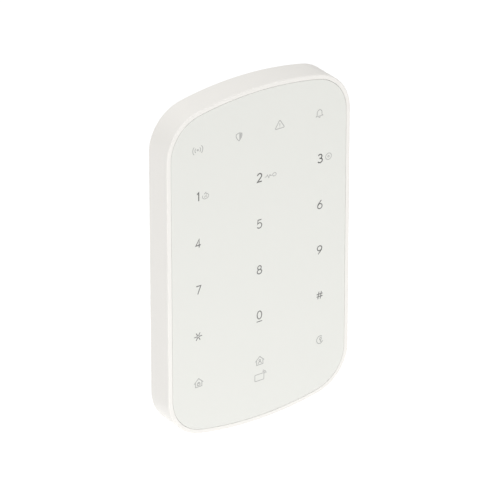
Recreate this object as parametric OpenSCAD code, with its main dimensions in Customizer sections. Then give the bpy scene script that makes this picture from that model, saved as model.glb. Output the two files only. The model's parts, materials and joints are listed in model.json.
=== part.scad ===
// Wall-mounted touch keypad for a wireless alarm.
//
// Every module is drawn as the keypad lies on its back: X is to the right, Y is up the
// wall, and Z is the distance from the wall. upright() then stands it on the wall, so
// that the front faces -Y, +Z is up, and the wall is the plane Y = 0.

/* [Face] */
// Width of the front
face_w = 97; // [90:0.5:120]
// Height of the front
face_h = 165; // [155:0.5:200]
// Radius of the four corners
corner_r = 21; // [16:0.5:24]
// Radius of the bowed top and bottom edges
crown_r = 159; // [130:1:220]
// Depth of the side wall that shows
skirt_d = 14; // [11:0.5:16]
// Thickness of the rim around the panel
rim_w = 2.1; // [1.6:0.1:3]
// Gap between the rim and the panel
panel_gap = 0.12; // [0.1:0.02:0.5]
// Thickness of the touch panel
panel_t = 1.6; // [1:0.1:2.5]
// Width of the ledge that carries the panel
ledge_w = 3; // [2.5:0.1:4]

/* [Keys] */
// Distance between the columns of keys
key_pitch_x = 32.4; // [28:0.1:34]
// Distance between the rows of keys
key_pitch_y = 22.65; // [20:0.05:24]
// Height of the 1-2-3 row above the middle of the face
top_row_y = 38.4; // [34:0.1:42]
// Height of the card icon below the bottom row of keys
card_drop = 7.9; // [7:0.1:9]
// Radius of the light well behind a key
key_well_r = 3.6; // [2.5:0.1:4]
// Radius of the light well behind a status icon
icon_well_r = 3; // [2:0.1:3.6]

/* [Light and board] */
// Thickness of the tape and of the diffuser film
tape_t = 0.2; // [0.1:0.05:0.3]
// Thickness of the light guide
guide_t = 2.8; // [2.4:0.1:4]
// Thickness of the circuit board
board_t = 1.2; // [1:0.1:1.6]
// Thickness of the reader coil
coil_t = 0.3; // [0.2:0.05:0.4]
// Width of the reader coil
coil_w = 40; // [34:1:42]
// Height of the reader coil
coil_h = 25; // [20:1:26]

/* [Battery bay] */
// Diameter of a cell
cell_d = 10.5; // [8.5:0.1:12.6]
// Length of a cell with its button
cell_l = 44.5; // [43:0.1:46]
// Gap between two cells
cell_gap = 0.8; // [0.7:0.1:1.2]
// Space for a coil contact
coil_space = 4.5; // [3.5:0.1:5.5]
// Height of the bay's middle above the middle of the face
bay_y = -24.5; // [-26:0.5:-20]
// Thickness of the bay's walls
bay_t = 0.8; // [0.8:0.1:1.2]
// Distance that the battery cover slides to open
cover_slide = 5; // [3:0.5:5]

/* [Back shell] */
// Distance that the back shell is set in from the front's edge
back_inset = 6; // [5:0.5:7]
// Thickness of the back shell's floor
floor_t = 1.5; // [1.4:0.1:1.8]
// Thickness of the back shell's side wall
side_t = 1.6; // [1.2:0.1:2]
// Distance of the housing screws from the middle
screw_x = 33; // [31:0.5:33.5]
// Shank radius of a housing screw
screw_r = 1.1; // [1:0.05:1.3]
// Distance of the side board screws from the middle
board_screw_x = 41; // [40:0.5:42]
// Distance of the top and bottom board screws from the middle
board_screw_y = 75; // [74:0.5:76]

/* [Tamper switch and power switch] */
// Height of the tamper plunger above the middle of the face
tamper_y = 55; // [50:0.5:58]
// Radius of the tamper plunger
plunger_r = 2; // [1.5:0.1:2.4]
// Distance that the plunger can be pressed
plunger_travel = 1.5; // [0.8:0.1:2]
// Distance that the power slider moves
power_travel = 3; // [2:0.1:4]

/* [Wall bracket] */
// Distance that the bracket is set in from the front's edge
bracket_inset = 9; // [8.5:0.5:10]
// Thickness of the bracket's plate
plate_t = 2.4; // [2.2:0.1:3]
// Gap between the bracket and the back shell
slide_gap = 0.4; // [0.3:0.05:0.6]
// Distance that the keypad is lifted to free it from the hooks
lift = 8; // [6:0.5:8]
// Width between the two columns of wall screws
wall_hole_w = 60; // [50:1:62]
// Height between the two rows of wall screws
wall_hole_h = 116; // [100:1:120]
// Radius of a wall screw's hole
wall_hole_r = 2.1; // [1.8:0.05:2.5]
// Width of a hook
hook_w = 7; // [5:0.5:8]
// Width of the wall left between the battery cover's groove and a hook's slot
hook_margin = 2; // [1.5:0.5:3]

/* [Hidden] */
$fn = 96;
CROWN_FN = 720;

// Clearances
fit = 0.2;             // between two pieces that don't turn or slide
running = 0.06;        // around a round piece that slides
thread_clear = 0.03;   // around a screw in its pilot hole
touch = 0.1;           // between faces that all but touch
eps = 0.5;             // overlap of a cut past a face

// Distances from the wall, from the bracket out to the front
floor_out = plate_t + slide_gap;
floor_in = floor_out + floor_t;
cell_clear = 0.25;
cell_z = floor_in + cell_clear + cell_d / 2;
bay_in = cell_z + cell_d / 2 + cell_clear;
bay_out = bay_in + bay_t;
sheet_t = 0.3;
board_back = bay_out + touch + sheet_t;
board_front = board_back + board_t;
guide_front = board_front + guide_t;
film_front = guide_front + tape_t;
face_z = film_front + panel_t;
skirt_back = face_z - skirt_d;
flange_t = 1.5;
flange_sink = 0.5;
spigot_l = 2;
flange_back = skirt_back + flange_sink;
flange_front = flange_back + flange_t;
spigot_front = flange_front + spigot_l;

// Outline: the crowns' arcs and the corners' arcs meet near a line through both centres.
// The corners stand a hair outside the crowns, so that the arcs cross and don't just touch.
cross_by = 0.02;
corner_x = face_w / 2 - corner_r;
crown_y = face_h / 2 - crown_r;
corner_y = crown_y + sqrt(pow(crown_r - corner_r, 2) - pow(corner_x, 2)) + cross_by;
corner_a = atan2(corner_y - crown_y, corner_x);

// Insets from the front's edge
panel_inset = rim_w + panel_gap;
ledge_inset = rim_w + ledge_w;
guide_inset = ledge_inset + fit;
board_clear = 1;
board_inset = rim_w + board_clear;
flange_inset = rim_w + fit;

// Keys: [x, y] of each printed field
bottom_row_y = top_row_y - 4 * key_pitch_y;
icon_row_y = top_row_y + key_pitch_y;
columns = [-key_pitch_x, 0, key_pitch_x];
card_y = bottom_row_y - card_drop;
key_places = [for (row = [0:4], x = columns) [x, top_row_y - row * key_pitch_y]];
icon_count = 4;
icon_places = [
    for (i = [0:icon_count - 1])
        [columns[0] + i * 2 * key_pitch_x / (icon_count - 1), icon_row_y]
];
lamp_size = [1.6, 0.8, 0.6];

// Housing screws stand between two rows of keys, and below the last row
screw_places = [
    for (sx = [-1, 1], y = [top_row_y + key_pitch_y / 2, bottom_row_y - key_pitch_y / 2])
        [sx * screw_x, y]
];
screw_head_r = 2;
screw_head_t = 1.3;
pilot_skin = 0.5;
pilot_end = guide_front - pilot_skin;
screw_tip = pilot_end - touch;
boss_r = 3;
tube_r = 3.6;
tube_floor_t = 1.5;
tube_front = flange_front;
boss_pad = 4.6;
post_r = 1.5;
post_places = [[-38, -20], [38, -20], [-20, 70], [20, 70]];

// Board screws
board_screw_r = 0.95;
board_head_r = 1.9;
board_head_t = 1.2;
board_pad = 3;
board_screw_places = [
    [-board_screw_x, top_row_y - 1.5 * key_pitch_y],
    [board_screw_x, top_row_y - 1.5 * key_pitch_y],
    [0, board_screw_y],
    [0, -board_screw_y]
];

// Battery bay: four cells side by side, every other one turned round
cells = 4;
contact_t = 0.4;
cell_pitch = cell_d + cell_gap;
bay_w = cells * cell_d + (cells - 1) * cell_gap + 2 * fit;
bay_l = cell_l + coil_space + 2 * contact_t + 2 * touch;
button_l = 1;
button_r = 1.9;
cover_margin = 1.5;
cover_w = bay_w + 2 * cover_margin;
cover_l = bay_l + 2 * cover_margin;
tongue_w = 1;
tongue_t = 0.6;
deck_t = 1;
deck_margin = 2;

// Contacts
plate_w = 8;
plate_h = 8.4;
coil_r = 3;
coil_wire_r = 0.3;
coil_turns = 4;
coil_steps = 12;
coil_sides = 8;

// Parts on the board
chip_place = [12, 22];
touch_chip_place = [-16, 34];
radio_place = [18, 48];
radio_size = [18, 15];
radio_board_t = 0.8;
can_size = [15, 11];
can_t = 2.2;
coil_band_w = 3;
ferrite_margin = 1;
buzzer_place = [-19, 51];
buzzer_r = 6.5;
buzzer_t = 4.5;

// Tamper switch, on the board's back
switch_w = 6;
switch_t = 3.3;
switch_back = board_back - switch_t;
collar_r = 3.2;
collar_t = 1.2;
collar_back = floor_in + touch;
stem_r = 1;
stem_in = 0.8;
stem_end = switch_back + stem_in;
bore_end = board_back - 0.4;
tamper_coil_r = 2;
tamper_wire_r = 0.25;
tamper_turns = 6;

// Power switch, on the board's back, worked through the floor by a slider
power_x = -15;
power_y = 22;
power_body = [9.6, 4, 3.6];
power_back = board_back - power_body[2];
knob = [5, 3.4];
knob_sink = 0.2;
slider_flange = [12.4, 6.4, 1];
slider_stem = [2, 1.5];
stem_depth = 1.2;
slot_depth = stem_depth + 0.4;

// Bracket
hook_post = 3;
hook_reach = lift - 1.5;
hook_t = 1.5;
hook_clear = 0.3;
hook_back = floor_in + hook_clear;
hook_front = hook_back + hook_t;
hook_x = cover_w / 2 + fit + tongue_w + fit + hook_margin + fit + hook_w / 2;
hook_low_y = -48;
hook_high_y = 28;
sink_r = 3.7;
sink_t = 1.4;
tongue_slot = 1.2;
latch_w = 10;
latch_l = 11;
latch_margin = 1.6;
latch_y = pocket_low() - latch_margin - fit;
bump_w = 8;
bump_h = 2;
bump_t = 1;
recess_t = 0.8;
recess_rows = 3;
recess_in = 4;
recess_out = 24;
recess_half_h = 44;
recess_rib = 4;

// Stands a piece that was drawn lying on its back up against the wall.
module upright() {
    rotate([90, 0, 0])
        children();
}

// A 2D outline made solid between two distances from the wall.
module slab(back, front) {
    translate([0, 0, back])
        linear_extrude(front - back)
            children();
}

// A rectangle in the plane of the face, between any two opposite corners.
module rect(x1, y1, x2, y2) {
    translate([min(x1, x2), min(y1, y2)])
        square([abs(x2 - x1), abs(y2 - y1)]);
}

// A round rod between two distances from the wall.
module rod(r, back, front) {
    translate([0, 0, back])
        cylinder(r = r, h = front - back);
}

// The front's outline, set in by a distance: straight sides, bowed ends, round corners.
// Past the corners' centres, the middle widens along the lines through both arcs' centres.
module outline(inset) {
    far_y = corner_y + 2 * corner_r;
    far_x = corner_x + 2 * corner_r / tan(corner_a);
    middle = concat(
        [[-corner_x, corner_y], [-far_x, far_y], [far_x, far_y], [corner_x, corner_y]],
        [[corner_x, -corner_y], [far_x, -far_y], [-far_x, -far_y], [-corner_x, -corner_y]]
    );
    intersection() {
        translate([0, crown_y])
            circle(crown_r - inset, $fn = CROWN_FN);
        translate([0, -crown_y])
            circle(crown_r - inset, $fn = CROWN_FN);
        union() {
            square([face_w - 2 * inset, 2 * corner_y], center = true);
            for (sx = [-1, 1], sy = [-1, 1])
                translate([sx * corner_x, sy * corner_y])
                    circle(corner_r - inset);
            polygon(middle);
        }
    }
}

// The band between two insets of the outline.
module band(outer, inner) {
    difference() {
        outline(outer);
        outline(inner);
    }
}

// A pad round a screw that reaches the front's nearest edge: its side, or its top or
// bottom where the screw is on the middle line.
module pad(place, half) {
    if (place[0] != 0)
        rect(
            place[0] - sign(place[0]) * half, place[1] - half,
            sign(place[0]) * face_w / 2, place[1] + half
        );
    else
        rect(
            -half, place[1] - sign(place[1]) * half,
            half, sign(place[1]) * face_h / 2
        );
}

// Pads on the ledge for the housing screws' bosses and the board screws.
module pads(grow) {
    for (p = screw_places)
        pad(p, boss_pad + grow);
    for (p = board_screw_places)
        pad(p, board_pad + grow);
}

// A coil spring along Z, from z = 0 to z = length.
module coil(radius, wire, turns, length) {
    rings = turns * coil_steps;
    rise = (length - 2 * wire) / rings;
    points = [
        for (i = [0:rings], j = [0:coil_sides - 1])
            let (
                a = 360 * i / coil_steps,
                b = 360 * j / coil_sides,
                out = radius + wire * cos(b)
            )
            [out * cos(a), out * sin(a), wire + i * rise + wire * sin(b)]
    ];
    sides = [
        for (i = [0:rings - 1], j = [0:coil_sides - 1])
            let (
                k = (j + 1) % coil_sides,
                low = i * coil_sides,
                high = low + coil_sides
            )
            [low + j, high + j, high + k, low + k]
    ];
    first = [for (j = [0:coil_sides - 1]) j];
    last = [for (j = [coil_sides - 1:-1:0]) rings * coil_sides + j];
    polyhedron(points, concat([first], sides, [last]));
}

// The white shell: the rim, the side wall, and the ledge with its pads and bosses.
module front_housing() {
    color("whitesmoke")
        upright()
            difference() {
                union() {
                    slab(skirt_back, face_z)
                        band(0, rim_w);
                    slab(board_front, guide_front)
                        ledge();
                    for (p = screw_places)
                        translate(p)
                            rod(boss_r, tube_front + touch, board_front + eps);
                }
                for (p = screw_places)
                    translate(p)
                        rod(screw_r + thread_clear, tube_front, pilot_end);
                for (p = board_screw_places)
                    translate(p)
                        rod(board_screw_r + thread_clear, board_front - eps, pilot_end);
            }
}

// The ledge's outline, which ends inside the rim.
module ledge() {
    band(rim_w / 2, ledge_inset);
    intersection() {
        outline(rim_w / 2);
        pads(0);
    }
}

// The printed touch panel.
module front_panel() {
    color("white")
        upright()
            slab(film_front, face_z)
                outline(panel_inset);
}

// The tape ring that bonds the panel to the ledge.
module panel_adhesive() {
    color("silver")
        upright()
            slab(guide_front, film_front)
                band(panel_inset + fit, ledge_inset - fit);
}

// The film that spreads the lamps' light.
module diffuser_film() {
    color("snow")
        upright()
            slab(guide_front, film_front)
                outline(ledge_inset);
}

// The light box, with a well for each key and each status icon.
module light_guide() {
    color("white")
        upright()
            difference() {
                slab(board_front, guide_front)
                    difference() {
                        outline(guide_inset);
                        pads(fit);
                    }
                for (p = concat(key_places, [[0, card_y]]))
                    translate(p)
                        rod(key_well_r, board_front - eps, guide_front + eps);
                for (p = icon_places)
                    translate(p)
                        rod(icon_well_r, board_front - eps, guide_front + eps);
                slab(board_front - eps, board_front + coil_t + touch)
                    coil_band(fit);
            }
}

// The reader coil's outline.
module coil_band(grow) {
    inner = coil_band_w + grow;
    translate([0, coil_y()])
        difference() {
            square([coil_w + 2 * grow, coil_h + 2 * grow], center = true);
            square([coil_w - 2 * inner, coil_h - 2 * inner], center = true);
        }
}

// The height of the reader coil's middle: the loop goes round the two lowest wells.
function coil_y() = (bottom_row_y + card_y) / 2;

// Lamps on the board's front, one in each place.
module lamps(places) {
    for (p = places)
        translate([p[0] - lamp_size[0] / 2, p[1] - lamp_size[1] / 2, board_front])
            cube(lamp_size);
}

module key_leds() {
    color("khaki")
        upright()
            lamps(concat(key_places, [[0, card_y]]));
}

module indicator_leds() {
    color("lightgreen")
        upright()
            lamps(icon_places);
}

// The circuit board, with its touch fields on the front.
module main_board() {
    color("darkgreen")
        upright()
            difference() {
                slab(board_back, board_front)
                    outline(board_inset);
                for (p = screw_places)
                    translate(p)
                        rod(boss_r + fit, board_back - eps, board_front + eps);
                for (p = board_screw_places)
                    translate(p)
                        rod(board_screw_r + fit, board_back - eps, board_front + eps);
            }
}

// A flat chip with leads on its four sides, on the board's back.
module chip(place, size, height, leads) {
    lead_w = 0.4;
    lead_out = 0.8;
    lead_t = 0.3;
    lead_pitch = size / (leads + 1);
    translate([place[0], place[1], board_back - height]) {
        translate([-size / 2, -size / 2, 0])
            cube([size, size, height]);
        for (i = [1:leads]) {
            along = -size / 2 + i * lead_pitch;
            for (turn = [0, 90])
                rotate(turn)
                    translate([along - lead_w / 2, -size / 2 - lead_out, height - lead_t])
                        cube([lead_w, size + 2 * lead_out, lead_t]);
        }
    }
}

module main_chip() {
    color("dimgray")
        upright()
            chip(chip_place, 9, 1.4, 8);
}

module touch_chip() {
    color("dimgray")
        upright()
            chip(touch_chip_place, 6, 1, 6);
}

// The radio's own small board and the can over its circuit.
module radio_module() {
    color("seagreen")
        upright()
            slab(board_back - radio_board_t, board_back)
                translate(radio_place)
                    square(radio_size, center = true);
}

module radio_shield() {
    color("silver")
        upright()
            slab(board_back - radio_board_t - can_t, board_back - radio_board_t)
                translate(radio_place)
                    square(can_size, center = true);
}

// The bent strip aerial along the board's top edge.
module radio_antenna() {
    strip_w = 1.6;
    strip_t = 0.4;
    low = [-6, 65];
    span = 34;
    rise = 5;
    color("goldenrod")
        upright()
            translate([low[0], low[1], board_back - rise]) {
                cube([span, strip_w, strip_t]);
                for (x = [0, 6, span - strip_t])
                    translate([x, 0, 0])
                        cube([strip_t, strip_w, rise]);
            }
}

// The card reader's flat loop on the board's front.
module reader_coil() {
    color("peru")
        upright()
            slab(board_front, board_front + coil_t)
                coil_band(0);
}

// The shield between the loop and the batteries.
module ferrite_sheet() {
    color("darkslategray")
        upright()
            slab(board_back - sheet_t, board_back)
                translate([0, coil_y()])
                    square([coil_w + 2 * ferrite_margin, coil_h], center = true);
}

// The sounder, with its sound hole towards the back.
module buzzer() {
    hole_r = 1;
    hole_depth = 2;
    color("black")
        upright()
            translate(buzzer_place)
                difference() {
                    rod(buzzer_r, board_back - buzzer_t, board_back);
                    rod(hole_r, board_back - buzzer_t - eps, board_back - buzzer_t + hole_depth);
                }
}

// The tamper switch's body, with the bore that the plunger's stem enters.
module tamper_switch() {
    color("slategray")
        upright()
            translate([0, tamper_y])
                difference() {
                    slab(switch_back, board_back)
                        square(switch_w, center = true);
                    rod(stem_r + running, switch_back - eps, bore_end);
                }
}

// The pin that the wall holds in: rod, collar and stem.
module tamper_plunger() {
    color("orangered")
        upright()
            translate([0, tamper_y]) {
                rod(plunger_r, 0, collar_back + collar_t / 2);
                rod(collar_r, collar_back, collar_back + collar_t);
                rod(stem_r, collar_back + collar_t / 2, stem_end);
            }
}

module tamper_spring() {
    color("silver")
        upright()
            translate([0, tamper_y, collar_back + collar_t])
                coil(tamper_coil_r, tamper_wire_r, tamper_turns, switch_back - collar_back - collar_t);
}

// The power switch's body, with the slot that the slider's stem runs in.
module power_switch() {
    slot = [slider_stem[0] + power_travel + 2 * fit, slider_stem[1] + 2 * fit];
    color("gray")
        upright()
            translate([power_x, power_y])
                difference() {
                    slab(power_back, board_back)
                        square([power_body[0], power_body[1]], center = true);
                    slab(power_back - eps, power_back + slot_depth)
                        square(slot, center = true);
                }
}

// The slide button: a knob in the floor, a flange behind it and a stem to the switch.
module power_slider() {
    seat = floor_in + touch;
    color("dimgray")
        upright()
            translate([power_x - power_travel / 2, power_y]) {
                slab(floor_out + knob_sink, seat + eps)
                    square(knob, center = true);
                slab(seat, seat + slider_flange[2])
                    square([slider_flange[0], slider_flange[1]], center = true);
                slab(seat + eps, power_back + stem_depth)
                    square(slider_stem, center = true);
            }
}

// The back shell: floor, side wall, flange, battery bay, screw tubes and posts.
module rear_housing() {
    color("gainsboro")
        upright()
            difference() {
                union() {
                    back_tray();
                    slab(floor_in - eps, bay_out)
                        bay_block();
                    slab(floor_in - eps, floor_in + deck_t)
                        pocket(deck_margin, deck_margin);
                    for (p = screw_places)
                        translate(p)
                            rod(tube_r, floor_in - eps, tube_front);
                    for (p = post_places)
                        translate(p)
                            rod(post_r, floor_in - eps, board_back - touch);
                }
                slab(floor_out - eps, bay_in)
                    bay_opening();
                slab(floor_out - eps, floor_in)
                    pocket(0, 0);
                slab(floor_in - tongue_t - fit, floor_in)
                    pocket(tongue_w + fit, 0);
                for (p = screw_places)
                    translate(p) {
                        rod(screw_head_r + fit, floor_out - eps, tube_front - tube_floor_t);
                        rod(screw_r + fit, floor_out, tube_front + eps);
                    }
                for (sx = [-1, 1], y = [hook_low_y, hook_high_y])
                    slab(floor_out - eps, floor_in + eps)
                        hook_slot(sx * hook_x, y);
                translate([0, tamper_y])
                    rod(plunger_r + running, floor_out - eps, floor_in + eps);
                slab(floor_out - eps, floor_in + eps)
                    translate([power_x, power_y])
                        square([knob[0] + power_travel + 2 * fit, knob[1] + 2 * fit], center = true);
                slab(floor_out - eps, floor_out + bump_t)
                    rect(
                        -bump_w / 2 - fit, latch_y - bump_h - lift - fit,
                        bump_w / 2 + fit, latch_y + fit
                    );
                sound_slots();
            }
    color("gainsboro")
        upright()
            bay_ribs();
}

// The back shell without its bay and tubes: floor, side wall, flange and spigot.
module back_tray() {
    difference() {
        union() {
            slab(floor_out, flange_front)
                outline(back_inset);
            slab(flange_back, spigot_front)
                outline(flange_inset);
        }
        slab(floor_in, flange_front + eps)
            outline(back_inset + side_t);
        slab(flange_front, spigot_front + eps)
            outline(flange_inset + side_t);
    }
}

// The bay's outside, round all four cells.
module bay_block() {
    translate([0, bay_y])
        square([bay_w + 2 * bay_t, bay_l + 2 * bay_t], center = true);
}

// The bay's inside.
module bay_opening() {
    translate([0, bay_y])
        square([bay_w, bay_l], center = true);
}

// Low ribs that keep the cells apart.
module bay_ribs() {
    rib_h = 2.5;
    for (i = [1:cells - 1])
        slab(bay_in - rib_h, bay_in + bay_t / 2)
            translate([(i - cells / 2) * cell_pitch, bay_y])
                square([cell_gap - 2 * touch, cell_l * 0.6], center = true);
}

// The recess that the battery cover slides in, made wider and longer at both ends.
module pocket(wider, longer) {
    rect(
        -cover_w / 2 - fit - wider, pocket_low() - longer,
        cover_w / 2 + fit + wider, bay_y + cover_l / 2 + fit + longer
    );
}

// The height of the recess's lower end, where an opened cover stops.
function pocket_low() = bay_y - cover_l / 2 - cover_slide - fit;

// The slot that a bracket hook enters, with room for the keypad to be lifted.
module hook_slot(x, y) {
    rect(
        x - hook_w / 2 - fit, y - lift - 2 * fit,
        x + hook_w / 2 + fit, y + hook_post + touch
    );
}

// Sound slots in the floor, over the buzzer.
module sound_slots() {
    slot = [8, 1.2];
    slot_pitch = 2.6;
    for (i = [-1:1])
        slab(floor_out - eps, floor_in + eps)
            translate([buzzer_place[0], buzzer_place[1] + i * slot_pitch])
                square(slot, center = true);
}

// The battery cover: a plate with a tongue along each side and a thumb grip.
module battery_cover() {
    grip_count = 5;
    grip_pitch = 2;
    grip = [20, 0.9];
    grip_t = 0.5;
    grip_y = bay_y - cover_l / 2 + 5;
    color("gainsboro")
        upright()
            difference() {
                union() {
                    slab(floor_out, floor_in - touch)
                        cover_rect(0);
                    slab(floor_in - touch - tongue_t, floor_in - touch)
                        cover_rect(tongue_w);
                }
                for (i = [0:grip_count - 1])
                    slab(floor_out - eps, floor_out + grip_t)
                        translate([0, grip_y + i * grip_pitch])
                            square(grip, center = true);
            }
}

// The cover's outline, widened by grow at its two sides.
module cover_rect(grow) {
    translate([0, bay_y])
        square([cover_w + 2 * grow, cover_l], center = true);
}

// Cells are numbered from the left. Odd ones have the button up, even ones down.
function cell_x(i) = (i - (cells + 1) / 2) * cell_pitch;
function cell_up(i) = i % 2 == 1 ? 1 : -1;

// A dry cell with its button.
module battery(i) {
    up = cell_up(i);
    shoulder = up * (bay_l / 2 - contact_t - touch - button_l);
    color(i % 2 == 1 ? "royalblue" : "cornflowerblue")
        upright()
            translate([cell_x(i), bay_y + shoulder, cell_z])
                rotate([up * 90, 0, 0]) {
                    cylinder(r = cell_d / 2, h = cell_l - button_l);
                    translate([0, 0, -button_l])
                        cylinder(r = button_r, h = button_l + eps);
                }
}

// The coil contact at a cell's flat end.
module cell_spring(i) {
    up = cell_up(i);
    color("silver")
        upright()
            translate([cell_x(i), bay_y - up * (bay_l / 2 - contact_t), cell_z])
                rotate([-up * 90, 0, 0])
                    coil(coil_r, coil_wire_r, coil_turns, coil_space + touch);
}

// A contact plate over cells first to last, at the bay's top (end = 1) or bottom (end = -1).
module contact(first, last, end) {
    x1 = cell_x(first) - plate_w / 2;
    x2 = cell_x(last) + plate_w / 2;
    y = bay_y + end * (bay_l - contact_t) / 2;
    color("lightsteelblue")
        upright()
            slab(cell_z - plate_h / 2, cell_z + plate_h / 2)
                rect(x1, y - contact_t / 2, x2, y + contact_t / 2);
}

// A screw whose head sits at a distance from the wall and points to the front.
module screw(shank_r, head_r, head_t, seat, tip) {
    cross = [head_r * 1.2, 0.5];
    cross_depth = 0.6;
    difference() {
        union() {
            rod(head_r, seat - head_t, seat);
            rod(shank_r, seat - head_t / 2, tip);
        }
        for (turn = [0, 90])
            slab(seat - head_t - eps, seat - head_t + cross_depth)
                rotate(turn)
                    square(cross, center = true);
    }
}

module board_screws() {
    color("silver")
        upright()
            for (p = board_screw_places)
                translate(p)
                    screw(board_screw_r, board_head_r, board_head_t, board_back, screw_tip);
}

module housing_screws() {
    color("silver")
        upright()
            for (p = screw_places)
                translate(p)
                    screw(screw_r, screw_head_r, screw_head_t, tube_front - tube_floor_t, screw_tip);
}

// The plate on the wall, with four hooks and a latch tongue.
module wall_bracket() {
    color("lightgray")
        upright() {
            difference() {
                slab(0, plate_t)
                    outline(bracket_inset);
                for (sx = [-1, 1], sy = [-1, 1])
                    translate([sx * wall_hole_w / 2, sy * wall_hole_h / 2]) {
                        rod(wall_hole_r, -eps, plate_t + eps);
                        translate([0, 0, plate_t - sink_t])
                            cylinder(r1 = wall_hole_r, r2 = sink_r, h = sink_t);
                    }
                slab(-eps, plate_t + eps)
                    rect(
                        -plunger_r - hook_clear, tamper_y - plunger_r - hook_clear,
                        plunger_r + hook_clear, tamper_y + lift + plunger_r + hook_clear
                    );
                slab(-eps, plate_t + eps)
                    latch_slot();
                slab(-eps, recess_t)
                    recesses();
            }
            slab(plate_t - eps, floor_out + bump_t - fit)
                rect(-bump_w / 2, latch_y - bump_h, bump_w / 2, latch_y);
            for (sx = [-1, 1], y = [hook_low_y, hook_high_y])
                hook(sx * hook_x, y);
        }
}

// Shallow recesses in the wall side, with ribs between them.
module recesses() {
    pitch = (2 * recess_half_h + recess_rib) / recess_rows;
    for (side = [-1, 1], row = [0:recess_rows - 1])
        rect(
            side * recess_in, -recess_half_h + row * pitch,
            side * recess_out, -recess_half_h + (row + 1) * pitch - recess_rib
        );
}

// The U-shaped slot round the latch tongue.
module latch_slot() {
    half = latch_w / 2;
    for (sx = [-1, 1])
        translate([sx * (half + tongue_slot / 2), latch_y + tongue_slot - (latch_l + tongue_slot) / 2])
            square([tongue_slot, latch_l + tongue_slot], center = true);
    rect(-half - tongue_slot / 2, latch_y, half + tongue_slot / 2, latch_y + tongue_slot);
}

// A hook: a post that carries the keypad and a lip that points up behind its floor.
module hook(x, y) {
    slab(plate_t - eps, hook_front)
        rect(x - hook_w / 2, y, x + hook_w / 2, y + hook_post);
    slab(hook_back, hook_front)
        rect(x - hook_w / 2, y, x + hook_w / 2, y + hook_post + hook_reach);
}

front_panel();
panel_adhesive();
diffuser_film();
front_housing();
light_guide();
key_leds();
indicator_leds();
main_board();
main_chip();
touch_chip();
radio_module();
radio_shield();
radio_antenna();
reader_coil();
ferrite_sheet();
buzzer();
tamper_switch();
tamper_plunger();
tamper_spring();
power_switch();
power_slider();
rear_housing();
battery_cover();
battery(1);  // battery_1
battery(2);  // battery_2
battery(3);  // battery_3
battery(4);  // battery_4
cell_spring(1);  // cell_spring_1
cell_spring(2);  // cell_spring_2
cell_spring(3);  // cell_spring_3
cell_spring(4);  // cell_spring_4
contact(1, 1, 1);  // positive_terminal
contact(4, 4, 1);  // negative_terminal
contact(2, 3, 1);  // top_link
contact(1, 2, -1);  // left_link
contact(3, 4, -1);  // right_link
board_screws();
housing_screws();
wall_bracket();
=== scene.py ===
import json
import math

import bmesh
import bpy
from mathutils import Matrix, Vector

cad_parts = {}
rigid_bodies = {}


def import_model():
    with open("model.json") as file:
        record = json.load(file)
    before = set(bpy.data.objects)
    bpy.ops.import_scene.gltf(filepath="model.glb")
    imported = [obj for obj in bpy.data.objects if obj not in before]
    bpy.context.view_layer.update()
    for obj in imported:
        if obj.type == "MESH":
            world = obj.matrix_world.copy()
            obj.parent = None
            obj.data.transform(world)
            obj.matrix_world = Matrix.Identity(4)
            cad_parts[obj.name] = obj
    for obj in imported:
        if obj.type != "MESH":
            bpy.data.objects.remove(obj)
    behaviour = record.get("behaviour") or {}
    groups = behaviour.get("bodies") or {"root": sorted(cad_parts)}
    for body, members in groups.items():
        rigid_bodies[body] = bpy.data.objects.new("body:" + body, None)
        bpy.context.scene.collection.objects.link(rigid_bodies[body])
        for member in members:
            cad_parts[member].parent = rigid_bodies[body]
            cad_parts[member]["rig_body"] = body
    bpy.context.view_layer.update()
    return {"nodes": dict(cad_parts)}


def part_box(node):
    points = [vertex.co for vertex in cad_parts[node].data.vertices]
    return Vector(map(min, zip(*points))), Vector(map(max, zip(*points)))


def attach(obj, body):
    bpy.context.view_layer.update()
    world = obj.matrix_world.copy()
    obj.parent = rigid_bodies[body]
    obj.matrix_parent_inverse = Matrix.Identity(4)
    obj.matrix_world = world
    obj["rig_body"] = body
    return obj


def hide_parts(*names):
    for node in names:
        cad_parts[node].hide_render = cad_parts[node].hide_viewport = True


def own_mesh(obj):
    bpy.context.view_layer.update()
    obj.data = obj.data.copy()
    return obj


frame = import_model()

MM = 0.001

# The outline's two radii, and the front shell's section, as the part has them
CORNER_R = 21 * MM
CROWN_R = 159 * MM
RIM_W = 2.1 * MM
LEDGE_W = 3 * MM

# The front shell's screw pads and bosses, as the part has them
HOUSING_PAD = 4.6 * MM
BOARD_PAD = 3 * MM
BOSS_R = 3 * MM
BOSS_HOLE_R = 1.13 * MM
BOSS_END = -10.4 * MM
BOSS_ROOT = 0.4 * MM
PAD_REACH = 0.75

# How far edges are rounded off on the front shell and the two sheets
OUTER_EDGE = 0.5 * MM
BACK_EDGE = 0.35 * MM
RIM_EDGE = 0.05 * MM
SEAT_EDGE = 0.15 * MM
LEDGE_EDGE = 0.2 * MM
INNER_EDGE = 0.3 * MM
PANEL_EDGE = 0.06 * MM
FILM_EDGE = 0.03 * MM

# A cell's coloured band, as a share of its length, and where its sleeve ends, as a share of its radius
CELL_BAND = 0.27
CELL_SLEEVE = 0.79

# A cell's button, and the tiny hole that a turned shape keeps round its axis
BUTTON_R = 1.9 * MM
AXIS_R = 0.001 * MM

# Half the wire's thickness in the two kinds of spring, their turns, and how their pitch eases at the ends
CELL_WIRE = 0.3 * MM
CELL_TURNS = 4
TAMPER_WIRE = 0.25 * MM
TAMPER_TURNS = 6
PITCH_EASE = 0.04

# A mark's height over the panel, what each further line adds, a filled part's height, how deep all of
# them reach into the panel, and how far a sharp corner of a line may run out
MARK_RISE = 0.02 * MM
LINE_RISE = 0.002 * MM
FILL_RISE = 0.016 * MM
MARK_ROOT = 0.01 * MM
MITRE_LIMIT = 0.45

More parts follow.
